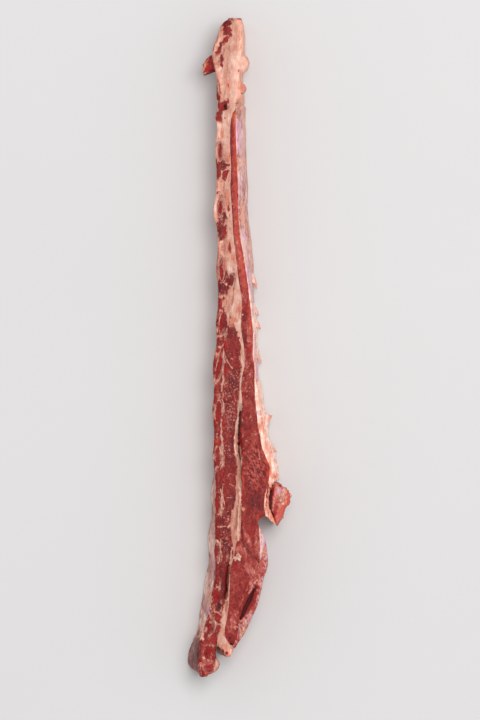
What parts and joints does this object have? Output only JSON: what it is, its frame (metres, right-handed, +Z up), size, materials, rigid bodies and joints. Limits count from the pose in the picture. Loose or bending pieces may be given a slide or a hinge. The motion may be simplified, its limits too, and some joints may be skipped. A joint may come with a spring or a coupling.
{
  "type": "raw beef short ribs",
  "caption": "Long strip of raw beef short ribs, sawn across the ribs, with lean, seam fat, an outer fat cover and a torn lower end, lying on a sawn face.",
  "frame": {"origin": "under the middle of the strip's bounding box, on the surface that it rests on", "axes": "+Y along the strip towards the end it was hung by; +X across it, from the bone side to the fat side; +Z up, out of the front sawn face"},
  "size_m": [0.1454, 0.9218, 0.0831],
  "materials": {
    "rib_layer_lean": "moist raw lean with membrane",
    "bone": "sawn bone with red marrow",
    "seam_fat": "soft cream fat",
    "marbled_lean": "moist marbled raw lean",
    "outer_lean": "moist coarse raw lean",
    "fascia": "silvery connective skin",
    "cover_fat": "pale peach fat",
    "lobe_lean": "smooth raw lean",
    "flap_lean": "raw lean under a thin membrane",
    "lump_lean": "moist torn lean",
    "crumb_fat": "dry fat"
  },
  "bodies": {
    "root": {"rib_meat": "rib_layer_lean", "rib_bone_01": "bone", "rib_bone_02": "bone", "rib_bone_03": "bone", "rib_bone_04": "bone", "rib_bone_05": "bone", "rib_bone_06": "bone", "rib_bone_07": "bone", "rib_bone_08": "bone", "rib_bone_09": "bone", "rib_bone_10": "bone", "rib_bone_11": "bone", "rib_bone_12": "bone", "inner_fat": "seam_fat", "inner_muscle": "marbled_lean", "outer_muscle": "outer_lean", "outer_fascia": "fascia", "outer_fat": "cover_fat", "lower_lobe": "lobe_lean", "outer_flap": "flap_lean", "hanging_lump": "lump_lean", "fat_crumb": "crumb_fat"}
  },
  "joints": []
}
